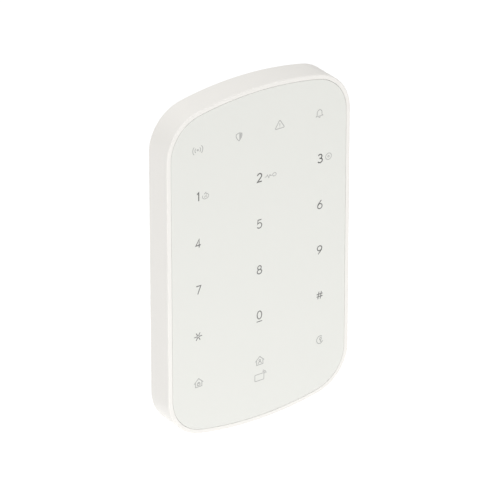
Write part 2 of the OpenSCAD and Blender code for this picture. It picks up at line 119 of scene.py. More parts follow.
# How much lighter than the rest a finish can get on an edge: partly wear, partly a painted highlight
EDGE_LIFT = 1.25

# Steps round the outline: each half side, each corner, each half of a bowed end, and a sheet's edge
SIDE_STEPS = 10
CORNER_STEPS = 36
CROWN_STEPS = 36
EDGE_STEPS = 4

# The view: the camera's direction, distance and lens, and how far its aim is off the panel's middle
AZIMUTH = math.radians(34.94)
ELEVATION = math.radians(27.76)
CAMERA_DISTANCE = 2.229
LENS = 366.5
SENSOR = 36
AIM_LEFT = 4.15 * MM
AIM_UP = 2.566 * MM

# The floor: half its width, its level, its squares, and its own light, which makes the ground white
FLOOR_HALF = 6
FLOOR_LEVEL = -0.42
FLOOR_STEPS = 24
FLOOR_GLOW = 0.461

# The light from all round, and each softbox: name, place, size in metres and power in watts
SKY = 0.333
SOFTBOXES = [
    ("top", (-0.6, -0.2, 2.4), (1.6, 1.6), 41.5),
    ("front", (0.9, -3.0, 1.2), (1.6, 1.6), 9.0),
    ("low", (-0.15, -0.55, -0.33), (0.5, 0.3), 1.06),
]


# ---------------------------------------------------------------- plain shapes

def arc_centres(width, height):
    """The upper right corner's centre (x, z), and the height of the upper crown's centre."""
    corner_x = width / 2 - CORNER_R
    crown_z = height / 2 - CROWN_R
    return corner_x, crown_z + math.sqrt((CROWN_R - CORNER_R) ** 2 - corner_x ** 2), crown_z


def half_width(z, inset, width, height):
    """Half of the outline's width at a height, for a given inset."""
    corner_x, corner_z, _ = arc_centres(width, height)
    z = abs(z)
    if z <= corner_z:
        return width / 2 - inset
    reach = (CORNER_R - inset) ** 2 - (z - corner_z) ** 2
    return corner_x + math.sqrt(max(reach, 0))


def outline(inset, width, height):
    """Points (x, z) once round the front's outline, set in by inset; as many for every inset."""
    corner_x, corner_z, crown_z = arc_centres(width, height)
    turn = math.atan2(corner_z - crown_z, corner_x)
    quarter = []
    for i in range(SIDE_STEPS):
        quarter.append((width / 2 - inset, corner_z * i / SIDE_STEPS))
    for i in range(CORNER_STEPS):
        a = turn * i / CORNER_STEPS
        quarter.append((corner_x + (CORNER_R - inset) * math.cos(a),
                        corner_z + (CORNER_R - inset) * math.sin(a)))
    for i in range(CROWN_STEPS + 1):
        a = turn + (math.pi / 2 - turn) * i / CROWN_STEPS
        quarter.append(((CROWN_R - inset) * math.cos(a),
                        crown_z + (CROWN_R - inset) * math.sin(a)))
    upper = quarter + [(-x, z) for x, z in reversed(quarter[:-1])]
    return upper + [(-x, -z) for x, z in upper[1:-1]]


def rounded(corners, steps=5):
    """A closed path through corners [(a, b, radius), ...] with each corner rounded off."""
    path = []
    n = len(corners)
    for i in range(n):
        a, b, r = corners[i]
        here = Vector((a, b))
        before = Vector(corners[i - 1][:2]) - here
        after = Vector(corners[(i + 1) % n][:2]) - here
        if r <= 0:
            path.append((a, b))
            continue
        before.normalize()
        after.normalize()
        half = before.angle(after) / 2
        reach = r / math.tan(half)
        centre = here + (before + after).normalized() * (r / math.sin(half))
        start = here + before * reach - centre
        sweep = math.pi - 2 * half
        side = 1 if before.cross(after) < 0 else -1
        for k in range(steps + 1):
            t = side * sweep * k / steps
            c, s = math.cos(t), math.sin(t)
            path.append((centre.x + start.x * c - start.y * s,
                         centre.y + start.x * s + start.y * c))
    return path


def rings_to_mesh(bm, rings, closed):
    """Quads between rings of points; closed joins the last ring to the first, else each end is capped."""
    made = [[bm.verts.new(p) for p in ring] for ring in rings]
    pairs = list(zip(made, made[1:])) + ([(made[-1], made[0])] if closed else [])
    for low, high in pairs:
        n = len(low)
        for i in range(n):
            k = (i + 1) % n
            bm.faces.new((low[i], low[k], high[k], high[i]))
    if not closed:
        bm.faces.new(list(reversed(made[0])))
        bm.faces.new(made[-1])


def turned(bm, path, centre, axis, closed=False, steps=64):
    """A path [(radius, distance along axis), ...] turned round an axis, 1 for Y and 2 for Z."""
    rings = []
    for r, along in path:
        ring = []
        for i in range(steps):
            a = 2 * math.pi * i / steps
            u, v = r * math.cos(a), r * math.sin(a)
            if axis == 1:
                ring.append((centre[0] + u, along, centre[2] + v))
            else:
                ring.append((centre[0] + u, centre[1] + v, along))
        rings.append(ring)
    rings_to_mesh(bm, rings, closed)


def spring_in(bm, centre, axis, start, end, radius, wire, turns, sides=14, per_turn=40):
    """A coil spring with a closed turn at each end, along an axis, 1 for Y and 2 for Z."""
    total = int((turns + 2) * per_turn)
    forward = math.copysign(1, end - start)
    low, high = start + wire * forward, end - wire * forward
    flat = 0.8 / (turns + 2)
    rings = []
    for i in range(total + 1):
        a = 2 * math.pi * i / per_turn
        lead = min(max((i / total - flat) / (1 - 2 * flat), 0), 1)
        lead -= PITCH_EASE * math.sin(2 * math.pi * lead)
        along = low + (high - low) * lead
        ring = []
        for j in range(sides):
            b = 2 * math.pi * j / sides
            out = radius + wire * math.cos(b)
            up = along + wire * math.sin(b)
            u, v = out * math.cos(a), out * math.sin(a)
            if axis == 1:
                ring.append((centre[0] + u, up, centre[2] + v))
            else:
                ring.append((centre[0] + u, centre[1] + v, up))
        rings.append(ring)
    rings_to_mesh(bm, rings, False)


def islands(node):
    """The box (low, high) of each separate solid in a CAD node."""
    bm = bmesh.new()
    bm.from_mesh(frame["nodes"][node].data)
    bmesh.ops.remove_doubles(bm, verts=bm.verts, dist=1e-6)
    left = set(bm.verts)
    found = []
    while left:
        heap = [left.pop()]
        points = []
        while heap:
            v = heap.pop()
            points.append(v.co.copy())
            for e in v.link_edges:
                o = e.other_vert(v)
                if o in left:
                    left.discard(o)
                    heap.append(o)
        found.append((Vector([min(p[k] for p in points) for k in range(3)]),
                      Vector([max(p[k] for p in points) for k in range(3)])))
    bm.free()
    return sorted(found, key=lambda b: (-round(b[0].z, 5), round(b[0].x, 5)))


def middle(box):
    return (box[0] + box[1]) / 2


# ---------------------------------------------------------------- pieces

def finish_mesh(bm, name, sharp=35):
    """An object from a bmesh, shaded smooth up to an angle."""
    bmesh.ops.recalc_face_normals(bm, faces=bm.faces)
    mesh = bpy.data.meshes.new(name)
    bm.to_mesh(mesh)
    bm.free()
    mesh.shade_smooth()
    mesh.set_sharp_from_angle(angle=math.radians(sharp))
    obj = bpy.data.objects.new(name, mesh)
    bpy.context.scene.collection.objects.link(obj)
    weigh(obj)
    return obj


def weigh(obj):
    """Flat faces keep flat shading next to rounded edges."""
    m = obj.modifiers.new("weigh", "WEIGHTED_NORMAL")
    m.keep_sharp = True
    m.weight = 60


def stand_for(obj, node):
    """obj takes a CAD node's place, with its body, its slot and its material."""
    obj.data.materials.clear()
    obj.data.materials.append(made_material(SLOTS[node]))
    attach(obj, frame["nodes"][node]["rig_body"])
    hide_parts(node)
    return obj


def soften(node, width):
    """A copy of a CAD node with its edges rounded a little."""
    bm = bmesh.new()
    bm.from_mesh(frame["nodes"][node].data)
    bmesh.ops.remove_doubles(bm, verts=bm.verts, dist=2e-6)
    bmesh.ops.dissolve_limit(bm, angle_limit=math.radians(0.4), use_dissolve_boundaries=False,
                             verts=bm.verts, edges=bm.edges)
    mesh = bpy.data.meshes.new(node + "_soft")
    bm.to_mesh(mesh)
    bm.free()
    obj = bpy.data.objects.new(node + "_look", mesh)
    bpy.context.scene.collection.objects.link(obj)
    bevel = obj.modifiers.new("edge", "BEVEL")
    bevel.width = width
    bevel.segments = 2
    bevel.limit_method = "ANGLE"
    bevel.angle_limit = math.radians(30)
    bevel.use_clamp_overlap = True
    bevel.miter_outer = "MITER_ARC"
    graph = bpy.context.evaluated_depsgraph_get()
    made = bpy.data.meshes.new_from_object(obj.evaluated_get(graph))
    made.name = node + "_look"
    obj.modifiers.clear()
    obj.data = made
    made.shade_smooth()
    made.set_sharp_from_angle(angle=math.radians(35))
    weigh(obj)
    return stand_for(obj, node)


def pad_outline(c, half, inset, width, height, steps=16):
    """A screw pad's shape: a square round the screw, run out to the ledge's inner edge."""
    if abs(c.x) > half:
        side = math.copysign(1, c.x)
        low, high = c.z - half, c.z + half
        levels = [low + (high - low) * i / steps for i in range(steps + 1)]
        edge = [(side * half_width(z, inset, width, height), z) for z in levels]
        return edge + [(c.x - side * half, high), (c.x - side * half, low)]
    side = math.copysign(1, c.z)
    edge, inner = side * (height / 2 - inset), c.z - side * half
    return [(-half, inner), (half, inner), (half, edge), (-half, edge)]


def front_housing():
    """The white shell: rim, side wall and ledge in one sweep, with its pads and bosses."""
    lo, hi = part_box("front_housing")
    ledge_lo, ledge_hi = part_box("light_guide")
    width, height = hi.x - lo.x, hi.z - lo.z
    front, back = lo.y, hi.y
    seat, under = ledge_lo.y, ledge_hi.y
    deep = RIM_W + LEDGE_W
    section = rounded([
        (0, back, BACK_EDGE), (0, front, OUTER_EDGE), (RIM_W, front, RIM_EDGE),
        (RIM_W, seat, SEAT_EDGE), (deep, seat, LEDGE_EDGE), (deep, under, LEDGE_EDGE),
        (RIM_W, under, INNER_EDGE), (RIM_W, back, INNER_EDGE),
    ], steps=6)
    boss = rounded([
        (BOSS_HOLE_R, BOSS_END, 0.1 * MM), (BOSS_R, BOSS_END, 0.2 * MM),
        (BOSS_R, seat + BOSS_ROOT, 0), (BOSS_HOLE_R, seat + BOSS_ROOT, 0),
    ], steps=3)
    bm = bmesh.new()
    rings = [[(x, y, z) for x, z in outline(inset, width, height)] for inset, y in section]
    rings_to_mesh(bm, rings, True)
    # The pads end inside the ledge's rounded edge, so that no two faces lie in one plane
    inset = deep - LEDGE_EDGE * PAD_REACH
    for box in islands("housing_screws"):
        c = middle(box)
        patch(bm, pad_outline(c, HOUSING_PAD, inset, width, height), seat, under)
        turned(bm, boss, c, 1, closed=True, steps=40)
    for box in islands("board_screws"):
        patch(bm, pad_outline(middle(box), BOARD_PAD, inset, width, height), seat, under)
    return stand_for(finish_mesh(bm, "front_housing_look"), "front_housing")


def sheet_of(node, edge):
    """A node that is a plate with the front's outline, with finely curved and rounded edges."""
    lo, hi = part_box(node)
    shell_lo, shell_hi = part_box("front_housing")
    width, height = shell_hi.x - shell_lo.x, shell_hi.z - shell_lo.z
    inset = (width - (hi.x - lo.x)) / 2
    section = []
    for y, sign in ((lo.y, 1), (hi.y, -1)):
        bend = []
        for k in range(EDGE_STEPS + 1):
            a = math.pi / 2 * k / EDGE_STEPS
            bend.append((inset + edge * (1 - math.sin(a)), y + sign * edge * (1 - math.cos(a))))
        section += bend if sign == 1 else list(reversed(bend))
    bm = bmesh.new()
    rings_to_mesh(bm, [[(x, y, z) for x, z in outline(d, width, height)] for d, y in section], False)
    return stand_for(finish_mesh(bm, node + "_look"), node)


def battery(number):
    """A dry cell: sleeve, crimped ends, button and its ring. Every second one is upside down."""
    node = "battery_%d" % number
    lo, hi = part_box(node)
    c = (lo + hi) / 2
    r = (hi.x - lo.x) / 2
    up = 1 if number % 2 == 1 else -1
    flat, top = (lo.z, hi.z) if up == 1 else (hi.z, lo.z)
    band = (hi.z - lo.z) * CELL_BAND
    # From the flat end: its dished middle, its ring, the crimp, the sleeve and its shoulder
    lower = [(AXIS_R, 0.25, 0), (r * 0.62, 0.25, 0.1), (r * 0.66, 0, 0.12), (r * 0.8, 0, 0.15),
             (r * 0.86, 0.35, 0.1), (r, 0.3, 0.25)]
    # From the button's face: the shoulder, the crimp, the ring round the button and the button
    upper = [(r, 1.05, 0.35), (r * 0.8, 1.0, 0.1), (r * 0.74, 1.4, 0.1), (r * 0.42, 1.2, 0.1),
             (BUTTON_R, 0.9, 0), (BUTTON_R, 0, 0.3), (AXIS_R, 0, 0)]
    corners = [(out, flat + up * deep * MM, edge * MM) for out, deep, edge in lower]
    corners.append((r, top - up * band, 0))
    corners += [(out, top - up * deep * MM, edge * MM) for out, deep, edge in upper]
    bm = bmesh.new()
    turned(bm, rounded(corners, steps=3), c, 2)
    obj = stand_for(finish_mesh(bm, node + "_look", sharp=40), node)
    obj.data.materials.append(made_material("cell_band"))
    obj.data.materials.append(made_material("cell_end"))
    for face in obj.data.polygons:
        out = math.hypot(face.center.x - c.x, face.center.y - c.y)
        if out < r * CELL_SLEEVE:
            face.material_index = 2
        elif abs(face.center.z - top) < band:
            face.material_index = 1
    return obj


def cell_spring(number):
    """The coil contact at a cell's flat end."""
    node = "cell_spring_%d" % number
    lo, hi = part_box(node)
    bm = bmesh.new()
    spring_in(bm, (lo + hi) / 2, 2, lo.z, hi.z, (hi.x - lo.x) / 2 - CELL_WIRE, CELL_WIRE, CELL_TURNS)
    return stand_for(finish_mesh(bm, node + "_look", sharp=60), node)


def tamper_spring():
    """The spring round the tamper plunger, with a mesh of its own."""
    node = "tamper_spring"
    lo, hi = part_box(node)
    c = (lo + hi) / 2
    bm = bmesh.new()
    spring_in(bm, c, 1, hi.y, lo.y, (hi.x - lo.x) / 2 - TAMPER_WIRE, TAMPER_WIRE, TAMPER_TURNS)
    obj = stand_for(finish_mesh(bm, node + "_look", sharp=60), node)
    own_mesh(obj)
    return obj


# ---------------------------------------------------------------- printed marks

# Each sign is a list of lines, and each line a list of points (right, up) in millimetres round the middle

def arc(x, z, rx, rz, start, end, steps=None):
    """Points along an arc, in degrees counterclockwise from the right."""
    steps = steps or max(4, int(abs(end - start) / 9))
    turns = [math.radians(start + (end - start) * i / steps) for i in range(steps + 1)]
    return [(x + rx * math.cos(a), z + rz * math.sin(a)) for a in turns]


def one():
    return [[(-0.5, 1.35), (0.35, 2.0), (0.35, -2.0)]]


def two():
    return [arc(0, 0.85, 1.1, 1.15, 168, -35) + [(-1.15, -2.0), (1.2, -2.0)]]


def three():
    return [arc(-0.05, 1.0, 1.0, 1.0, 155, -90) + arc(-0.05, -0.95, 1.2, 1.05, 90, -155)]


def four():
    return [[(0.45, -2.0), (0.45, 2.0), (-1.3, -0.85), (1.3, -0.85)]]


def five():
    return [[(1.0, 2.0), (-0.8, 2.0), (-1.0, 0.15)] + arc(-0.1, -0.7, 1.25, 1.3, 130, -150)]


def six():
    return [[(0.75, 2.0), (-0.45, 0.75)] + arc(0, -0.8, 1.2, 1.2, 150, 510)]


def seven():
    return [[(-1.2, 2.0), (1.2, 2.0), (-0.4, -2.0)]]


def eight():
    return [arc(0, 1.05, 0.95, 0.95, -90, 270), arc(0, -0.92, 1.2, 1.05, 90, 450)]


def nine():
    return [[(-x, -z) for x, z in line] for line in six()]


def nought():
    return [arc(0, 0.1, 1.2, 1.95, 0, 360)]


def star():
    arms = []
    for a in range(0, 360, 60):
        c, s = math.cos(math.radians(a)), math.sin(math.radians(a))
        arms.append([(0.35 * c, 0.35 * s), (2.1 * c, 2.1 * s)])
    return arms


def hash_mark():
    up = [[(x - 0.3, -1.8), (x + 0.3, 1.8)] for x in (-0.65, 0.65)]
    return up + [[(-1.6, z), (1.6, z)] for z in (-0.6, 0.6)]


def waves():
    """Radio waves to both sides of a dot."""
    lines = [arc(0, 0, 0.35, 0.35, 0, 360)]
    for r in (1.6, 2.85):
        lines += [arc(0, 0, r, r, -44, 44), arc(0, 0, r, r, 136, 224)]
    return lines


def shield():
    """A shield with its right half filled in."""
    half = [(0, 2.0), (0.8, 1.75), (1.6, 1.45), (1.65, 0.5), (1.3, -0.5), (0.7, -1.35), (0, -2.1)]
    return [half + [(-x, z) for x, z in reversed(half[1:-1])] + [half[0]]]


def shield_half():
    return [(0.15, 1.7), (1.35, 1.2), (1.35, 0.5), (1.05, -0.4), (0.6, -1.1), (0.15, -1.6)]


def warning():
    return [[(-2.2, -1.9), (2.2, -1.9), (2.5, -1.5), (0.25, 2.1), (-0.25, 2.1), (-2.5, -1.5), (-2.2, -1.9)],
            [(0, 0.8), (0, -0.5)], [(0, -1.0), (0, -1.3)]]


def bell():
    dome = arc(0, 0.4, 1.5, 1.6, 180, 0, 14)
    return [[(-2.1, -1.5), (-1.5, -0.9)] + dome + [(1.5, -0.9), (2.1, -1.5), (-2.1, -1.5)],
            arc(0, -1.9, 0.5, 0.35, 180, 360, 6)]


def house(inner):
    walls = [(-1.7, 0.2), (-1.7, -2.0), (1.7, -2.0), (1.7, 0.2)]
    return [walls, [(-2.4, -0.2), (0, 2.1), (2.4, -0.2)]] + inner


def house_locked():
    """A house with a padlock in it."""
    lock = [(-0.7, -1.3), (0.7, -1.3), (0.7, -0.3), (-0.7, -0.3), (-0.7, -1.3)]
    return house([lock, arc(0, -0.3, 0.42, 0.55, 0, 180, 8)])


def house_person():
    """A house with a head and shoulders in it."""
    return house([arc(0, 0.1, 0.42, 0.42, 0, 360), arc(0, -1.5, 0.85, 0.9, 0, 180, 10)])


def unlocked():
    """An open ring with a key in it."""
    return [arc(0, 0, 1.75, 1.9, 50, 335), arc(0.35, 0.45, 0.5, 0.55, 0, 360),
            [(0.35, -0.1), (0.35, -1.0), (0.95, -1.0)]]


def card():
    """A card with waves at its upper right corner."""
    w, h, r = 2.45, 1.6, 0.35
    edge = arc(w - r, -h + r, r, r, -90, 0, 4) + arc(w - r, h - r, r, r, 0, 90, 4)
    edge += arc(-w + r, h - r, r, r, 90, 180, 4) + arc(-w + r, -h + r, r, r, 180, 270, 4)
    return [edge + [edge[0]]] + [arc(1.6, 0.9, reach, reach, 5, 85, 6) for reach in (1.45, 2.1)]


def flame():
    tongues = [(0.75, 0.75), (0.35, 0.45), (0.1, 1.35), (-0.75, 0.7)]
    return [arc(0, -0.35, 1.5, 1.1, -215, 35, 20) + tongues, arc(0.1, -0.7, 0.55, 0.5, -20, 200, 8)]


def pulse():
    """A heartbeat that runs into a ring."""
    return [[(-3.1, 0), (-2.3, 0), (-1.8, 0.85), (-1.0, -0.85), (-0.4, 0.6), (0, 0), (0.7, 0)],
            arc(2.0, 0.05, 0.95, 0.8, 0, 360, 20)]


def ring():
    """A ring with a dot in it."""
    return [arc(0, 0, 1.35, 1.35, 0, 360), arc(0, 0, 0.35, 0.35, 0, 360, 12)]


def bar():
    return [[(-1.5, 0), (1.5, 0)]]


def stroke(bm, line, half, front, back):
    """A line of constant width as a thin raised strip on the panel."""
    closed = (Vector(line[0]) - Vector(line[-1])).length < 1e-9
    points = [Vector(p) for p in (line[:-1] if closed else line)]
    n = len(points)
    left, right = [], []
    for i, p in enumerate(points):
        before = points[i - 1] if i or closed else None
        after = points[(i + 1) % n] if i < n - 1 or closed else None
        d1 = (p - before).normalized() if before is not None else (after - p).normalized()
        d2 = (after - p).normalized() if after is not None else d1
        across = Vector((-(d1 + d2).y, (d1 + d2).x)).normalized()
        wide = half / max(across.dot(Vector((-d1.y, d1.x))), MITRE_LIMIT)
        left.append(p + across * wide)
        right.append(p - across * wide)
    rows = []
    for side in (left, right):
        rows.append([bm.verts.new((p.x, front, p.y)) for p in side])
        rows.append([bm.verts.new((p.x, back, p.y)) for p in side])
    lf, lb, rf, rb = rows
    spans = range(n if closed else n - 1)
    for i in spans:
        k = (i + 1) % n
        bm.faces.new((lf[i], lf[k], rf[k], rf[i]))
        bm.faces.new((lb[i], rb[i], rb[k], lb[k]))
        bm.faces.new((lf[i], lb[i], lb[k], lf[k]))
        bm.faces.new((rf[i], rf[k], rb[k], rb[i]))
    if not closed:
        bm.faces.new((lf[0], rf[0], rb[0], lb[0]))
        bm.faces.new((lf[-1], lb[-1], rb[-1], rf[-1]))


def patch(bm, points, front, back):
    """A filled shape of points (x, z) as a plate between two depths."""
    fronts = [bm.verts.new((x, front, z)) for x, z in points]
    backs = [bm.verts.new((x, back, z)) for x, z in points]
    bm.faces.new(fronts)
    bm.faces.new(list(reversed(backs)))
    for i in range(len(points)):
        k = (i + 1) % len(points)
        bm.faces.new((fronts[i], backs[i], backs[k], fronts[k]))


def moved(points, at, scale):
    """A mark's points, in millimetres round its middle, as points on the panel."""
    return [(at[0] + x * scale * MM, at[1] + z * scale * MM) for x, z in points]


def print_on(bm, name, tone):
    """A printed piece from a bmesh; it rides on the keypad unit."""
    obj = finish_mesh(bm, name)
    obj.data.materials.append(tone)
    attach(obj, "unit")


def plate(name, shapes, at, scale, tone):
    """The filled parts of a printed mark."""
    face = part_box("front_panel")[0].y
    bm = bmesh.new()
    for points in shapes:
        patch(bm, moved(points, at, scale), face - FILL_RISE, face + MARK_ROOT)
    print_on(bm, name, tone)


def mark(name, lines, at, scale, width, tone):
    """A printed mark on the panel, centred on a point."""
    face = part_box("front_panel")[0].y
    bm = bmesh.new()
    for i, line in enumerate(lines):
        front = face - MARK_RISE - LINE_RISE * i
        stroke(bm, moved(line, at, scale), width * MM / 2, front, face + MARK_ROOT)
    print_on(bm, name, tone)


# Each mark on a key: name, shape, place right of and above the key's middle, line width and ink
KEY_MARKS = [
    ("1", one, 0, 0, 0.55, "dark"), ("2", two, 0, 0, 0.55, "dark"), ("3", three, 0, 0, 0.55, "dark"),
    ("4", four, 0, 0, 0.5, "grey"), ("5", five, 0, 0, 0.5, "grey"), ("6", six, 0, 0, 0.5, "grey"),
    ("7", seven, 0, -0.2, 0.5, "grey"), ("8", eight, 0, 0, 0.5, "grey"), ("9", nine, 0, 0.1, 0.5, "grey"),
    ("star", star, -0.35, -0.5, 0.42, "grey"), ("0", nought, 0, 0, 0.5, "grey"),
    ("hash", hash_mark, 0.2, 0, 0.45, "grey"), ("away", house_locked, -0.2, -1.0, 0.34, "pale"),
    ("home", house_person, 0.2, -0.25, 0.34, "pale"), ("disarm", unlocked, 0.5, 0, 0.36, "pale"),
    ("card", card, 0, -0.75, 0.3, "pale"),
]

# Each mark beside a numeral: name, shape, which key, place right of and above the key's middle, and size
SIDE_MARKS = [
    ("fire", flame, 0, 3.95, -0.3, 1.1), ("medical", pulse, 1, 5.9, -0.65, 1.0),
    ("panic", ring, 2, 4.5, -0.2, 1.15),
]
SIDE_LINE = 0.28

# Each mark over a status lamp: name, shape, place right of and above the lamp, size and filled parts
STATUS_MARKS = [
    ("radio", waves, 0, 0, 0.92, ()), ("shield", shield, 0, 0.25, 0.94, (shield_half(),)),
    ("warning", warning, -0.1, 0, 0.94, ()), ("bell", bell, -0.5, -0.5, 0.86, ()),
]
STATUS_LINE = 0.32

# The bar under the nought: which key, its place above the key's middle, and its line width
BAR_KEY = 10
BAR_ABOVE = -3.1
BAR_LINE = 0.42


def legends():
    """Digits and signs over the key lamps, and pictures over the status lamps."""
    inks = {"dark": ink("ink_dark", 0.12), "grey": ink("ink_grey", 0.18), "pale": ink("ink_pale", 0.40),
            "fill": ink("ink_fill", 0.45)}
    keys = [middle(b) for b in islands("key_leds")]
    lamps = [middle(b) for b in islands("indicator_leds")]

    def beside(c, right, above):
        return c.x + right * MM, c.z + above * MM

    for (name, shape, right, above, width, tone), c in zip(KEY_MARKS, keys):
        mark("mark_" + name, shape(), beside(c, right, above), 1.0, width, inks[tone])
    mark("mark_0_bar", bar(), beside(keys[BAR_KEY], 0, BAR_ABOVE), 1.0, BAR_LINE, inks["grey"])
    for name, shape, number, right, above, scale in SIDE_MARKS:
        mark("mark_" + name, shape(), beside(keys[number], right, above), scale, SIDE_LINE, inks["pale"])
    for (name, shape, right, above, scale, filled), c in zip(STATUS_MARKS, lamps):
        mark("mark_" + name, shape(), beside(c, right, above), scale, STATUS_LINE, inks["pale"])
        if filled:
            plate("mark_%s_fill" % name, filled, beside(c, right, above), scale, inks["fill"])


# ---------------------------------------------------------------- materials

def parts_of(material):
    """A material's node tree, its shader and its object coordinates."""
    tree = material.node_tree
    return tree, tree.nodes["Principled BSDF"], tree.nodes["Texture Coordinate"].outputs["Object"]


def noise(tree, place, scale, detail):
    """Cloudy noise; scale is in lumps per metre."""
    n = tree.nodes.new("ShaderNodeTexNoise")
    n.inputs["Scale"].default_value = scale
    n.inputs["Detail"].default_value = detail
    tree.links.new(place, n.inputs["Vector"])
    return n.outputs["Fac"]


def remap(tree, value, low, high, start=0.3, end=0.7):
    """A value's range from start to end, stretched to run from low to high."""
    m = tree.nodes.new("ShaderNodeMapRange")
    for name, number in (("From Min", start), ("From Max", end), ("To Min", low), ("To Max", high)):
        m.inputs[name].default_value = number
    tree.links.new(value, m.inputs["Value"])
    return m.outputs["Result"]


def mix(tree, factor, a, b):
    """Two colours mixed by a value; each is a colour or another node's output."""
    m = tree.nodes.new("ShaderNodeMix")
    m.data_type = "RGBA"
    tree.links.new(factor, m.inputs[0])
    for socket, colour in ((m.inputs[6], a), (m.inputs[7], b)):
        if isinstance(colour, tuple):
            socket.default_value = (*colour, 1)
        else:
            tree.links.new(colour, socket)
    return m.outputs[2]


def bump(tree, shader, height, strength, distance, under=None):
    """Relief from a value, over the relief that is there already."""
    b = tree.nodes.new("ShaderNodeBump")
    b.inputs["Strength"].default_value = strength
    b.inputs["Distance"].default_value = distance
    tree.links.new(height, b.inputs["Height"])
    if under is not None:
        tree.links.new(under, b.inputs["Normal"])
    tree.links.new(b.outputs["Normal"], shader.inputs["Normal"])


def edge_wear_and_highlight(tree, wear_and_highlight):
    """How much lighter the finish is on sharp outer edges, 0 on flat faces: partly wear, partly a painted
    highlight.
    """
    g = tree.nodes.new("ShaderNodeNewGeometry")
    return remap(tree, g.outputs["Pointiness"], 0.0, wear_and_highlight, 0.52, 0.62)


def shade(colour, factor):
    return tuple(min(1.0, c * factor) for c in colour)


def surface(name, colour, rough, metal=0.0, grain=1800, depth=0.012, vary=0.03, spread=0.06, wear_and_highlight=0.05,
            coat=0.0):
    """A finish with fine grain (lumps per metre, depth in mm), slight changes, and lighter edges, partly
    wear and partly a painted highlight.
    """
    material = bpy.data.materials.new(name)
    material.use_nodes = True
    material.node_tree.nodes.new("ShaderNodeTexCoord")
    tree, shader, place = parts_of(material)
    cloud = noise(tree, place, 45, 4)
    body = mix(tree, cloud, shade(colour, 1 - vary), shade(colour, 1 + vary))
    # Sharp outer edges painted lighter: partly wear, partly a painted highlight
    worn_and_highlit = mix(tree, edge_wear_and_highlight(tree, wear_and_highlight), body, shade(colour, EDGE_LIFT))
    tree.links.new(worn_and_highlit, shader.inputs["Base Color"])
    gloss = remap(tree, noise(tree, place, 220, 5), rough - spread, rough + spread)
    tree.links.new(gloss, shader.inputs["Roughness"])
    bump(tree, shader, noise(tree, place, grain, 3), 0.35, depth * MM)
    shader.inputs["Metallic"].default_value = metal
    shader.inputs["Coat Weight"].default_value = coat
    material.diffuse_color = (*colour, 1)
    return material


def ink(name, level):
    return surface(name, (level, level, level * 0.97), 0.45, grain=6000, depth=0.004, wear_and_highlight=0.0)


def panel_finish():
    """White gloss touch panel."""
    return surface("panel", (0.788, 0.791, 0.750), 0.16, grain=700, depth=0.0015, vary=0.004, spread=0.03,
                   wear_and_highlight=0.02)


def shell_finish():
    """White moulded plastic."""
    return surface("shell", (0.885, 0.865, 0.827), 0.42, grain=2600, depth=0.008, vary=0.006, wear_and_highlight=0.02)


def back_shell_finish():
    return surface("back_shell", (0.80, 0.80, 0.78), 0.5, grain=1800, depth=0.02, vary=0.012, wear_and_highlight=0.05)


def tape_finish():
    return surface("tape", (0.62, 0.62, 0.6), 0.6, grain=900, depth=0.02, wear_and_highlight=0)


def film_finish():
    return surface("film", (0.88, 0.9, 0.9), 0.35, grain=3000, depth=0.004, wear_and_highlight=0)


def light_box_finish():
    return surface("light_box", (0.86, 0.86, 0.85), 0.5, grain=1500, depth=0.015)


def lamp_finish():
    """A small lamp with a yellow window."""
    return surface("lamp", (0.85, 0.75, 0.3), 0.3, grain=4000, depth=0.01)


def board_finish():
    """Green solder mask with raised tracks under it."""
    material = surface("board", (0.035, 0.16, 0.07), 0.35, grain=1500, depth=0.006, vary=0.08, wear_and_highlight=0.1)
    tree, shader, place = parts_of(material)
    turn = tree.nodes.new("ShaderNodeMapping")
    turn.inputs["Rotation"].default_value = (math.pi / 2, 0, 0)
    tree.links.new(place, turn.inputs["Vector"])
    tracks = tree.nodes.new("ShaderNodeTexBrick")
    for socket, number in (("Scale", 260), ("Mortar Size", 0.06), ("Mortar Smooth", 0.3),
                           ("Row Height", 0.4), ("Brick Width", 2.6)):
        tracks.inputs[socket].default_value = number
    tree.links.new(turn.outputs["Vector"], tracks.inputs["Vector"])
    under = shader.inputs["Base Color"].links[0].from_socket
    tree.links.new(mix(tree, tracks.outputs["Fac"], under, (0.06, 0.24, 0.11)), shader.inputs["Base Color"])
    bump(tree, shader, tracks.outputs["Fac"], 0.5, 0.03 * MM, shader.inputs["Normal"].links[0].from_socket)
    return material


def chip_finish():
    return surface("chip", (0.025, 0.025, 0.028), 0.5, grain=2600, depth=0.02, wear_and_highlight=0.08)


def shield_finish():
    return surface("shield", (0.62, 0.63, 0.62), 0.32, metal=1.0, grain=1200, depth=0.01, wear_and_highlight=0.2)


def copper_finish():
    """Fine parallel turns."""
    material = surface("copper", (0.72, 0.36, 0.18), 0.3, metal=1.0, grain=3000, depth=0.01, wear_and_highlight=0.2)
    tree, shader, place = parts_of(material)
    wave = tree.nodes.new("ShaderNodeTexWave")
    wave.inputs["Scale"].default_value = 700
    wave.inputs["Distortion"].default_value = 0.4
    tree.links.new(place, wave.inputs["Vector"])
    bump(tree, shader, wave.outputs["Fac"], 0.4, 0.03 * MM, shader.inputs["Normal"].links[0].from_socket)
    return material


def aerial_finish():
    return surface("aerial", (0.8, 0.62, 0.3), 0.3, metal=1.0, grain=2000, depth=0.01, wear_and_highlight=0.2)


def ferrite_finish():
    return surface("ferrite", (0.05, 0.05, 0.055), 0.65, grain=900, depth=0.03, vary=0.15, wear_and_highlight=0.1)


def sounder_finish():
    return surface("sounder", (0.03, 0.03, 0.03), 0.4, grain=1500, depth=0.015, wear_and_highlight=0.1)


def switch_finish():
    return surface("switch", (0.08, 0.085, 0.09), 0.45, grain=1800, depth=0.015, wear_and_highlight=0.1)


def plunger_finish():
    return surface("plunger", (0.78, 0.78, 0.75), 0.45, grain=1800, depth=0.012, wear_and_highlight=0.08)


